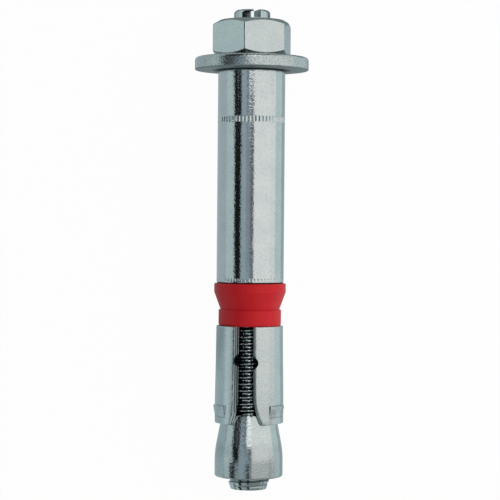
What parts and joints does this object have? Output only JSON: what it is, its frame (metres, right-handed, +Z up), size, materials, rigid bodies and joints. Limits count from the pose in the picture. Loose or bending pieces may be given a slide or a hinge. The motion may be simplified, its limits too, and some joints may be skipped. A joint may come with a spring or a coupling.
{
  "type": "heavy-duty anchor",
  "caption": "Torque-set sleeve anchor for concrete: slotted stud, hexagon nut, washer, distance sleeve, red collapsible ring, slit expansion sleeve and cone nut.",
  "frame": {"origin": "on the anchor's axis, in the plane where the washer meets the fixture", "axes": "+Y along the axis, out of the fixture towards the nut; the cone is towards -Y, and +Z is up as it lies, with the expansion sleeve's seam nearly on top"},
  "size_m": [0.03, 0.126, 0.03],
  "materials": {
    "bright_zinc": "bright blue-white zinc plating on steel, finely mottled",
    "red_plastic": "moulded plastic, satin"
  },
  "bodies": {
    "sleeves": {"distance_sleeve": "bright_zinc", "washer": "bright_zinc", "collapsible_ring": "red_plastic", "expansion_sleeve": "bright_zinc"},
    "nut": {"hex_nut": "bright_zinc"},
    "stud": {"threaded_stud": "bright_zinc", "cone_nut": "bright_zinc"}
  },
  "joints": [
    {"name": "nut_turn", "type": "hinge", "parent": "sleeves", "child": "nut", "pos_m": [0, 0.00825, 0], "axis": [0, 1, 0], "range_deg": [0, 1350]},
    {"name": "stud_draw", "type": "slide", "parent": "sleeves", "child": "stud", "axis": [0, -1, 0], "range_m": [0, 0.00656]}
  ],
  "couplings": [
    {"joint": "nut_turn", "follows": "stud_draw", "rad_per_m": 3590.4}
  ]
}
